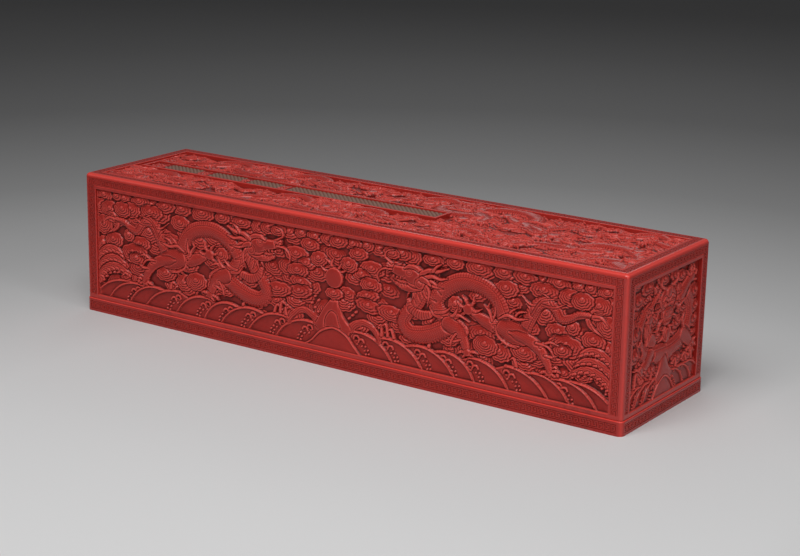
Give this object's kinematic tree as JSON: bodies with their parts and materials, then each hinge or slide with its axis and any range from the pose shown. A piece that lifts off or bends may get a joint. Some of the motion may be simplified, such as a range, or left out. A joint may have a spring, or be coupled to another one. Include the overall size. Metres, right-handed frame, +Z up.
{
  "type": "scroll box",
  "caption": "Long rectangular scroll box: a deep lift-off cover of carved red lacquer with dragons among clouds over waves, on a low plinth base with a shallow tray and scroll rests.",
  "frame": {"origin": "centre of the plinth's flat underside", "axes": "+X along the box to the right as seen from the front, -Y out of the front, +Z up, the way the cover lifts"},
  "size_m": [0.5216, 0.1316, 0.121],
  "materials": {
    "red_lacquer": "satin carved red lacquer",
    "slip_lacquer": "brown-grey lacquer cut with a fine diaper",
    "black_lacquer": "smooth black lacquer over wood or cloth",
    "core_wood": "plain softwood, hidden under the lacquer",
    "bamboo": "split bamboo",
    "silk": "yellow silk over thin wadding"
  },
  "bodies": {
    "base": {"base_back_rail": "core_wood", "base_deck": "black_lacquer", "base_front_rail": "core_wood", "base_left_rail": "core_wood", "base_panel": "core_wood", "base_right_rail": "core_wood", "base_underside": "black_lacquer", "frame_corner_pins": "bamboo", "left_rest_silk": "silk", "left_scroll_rest": "black_lacquer", "plinth_back_lacquer": "red_lacquer", "plinth_front_lacquer": "red_lacquer", "plinth_left_lacquer": "red_lacquer", "plinth_right_lacquer": "red_lacquer", "right_rest_silk": "silk", "right_scroll_rest": "black_lacquer", "tray_back_wall": "black_lacquer", "tray_corner_pins": "bamboo", "tray_floor": "black_lacquer", "tray_front_wall": "black_lacquer", "tray_left_wall": "black_lacquer", "tray_right_wall": "black_lacquer"},
    "cover": {"cover_back_core": "core_wood", "cover_back_lacquer": "red_lacquer", "cover_back_lining": "black_lacquer", "cover_back_rim": "black_lacquer", "cover_front_core": "core_wood", "cover_front_lacquer": "red_lacquer", "cover_front_lining": "black_lacquer", "cover_front_rim": "black_lacquer", "cover_left_core": "core_wood", "cover_left_lacquer": "red_lacquer", "cover_left_lining": "black_lacquer", "cover_left_rim": "black_lacquer", "cover_right_core": "core_wood", "cover_right_lacquer": "red_lacquer", "cover_right_lining": "black_lacquer", "cover_right_rim": "black_lacquer", "cover_top_core": "core_wood", "cover_top_lacquer": "red_lacquer", "cover_top_lining": "black_lacquer", "cover_top_pins": "bamboo", "cover_wall_pins": "bamboo", "title_slip_ground": "slip_lacquer"}
  },
  "joints": [
    {"name": "cover_lift", "type": "slide", "parent": "base", "child": "cover", "axis": [0, 0, 1], "range_m": [0, 0.14]}
  ]
}
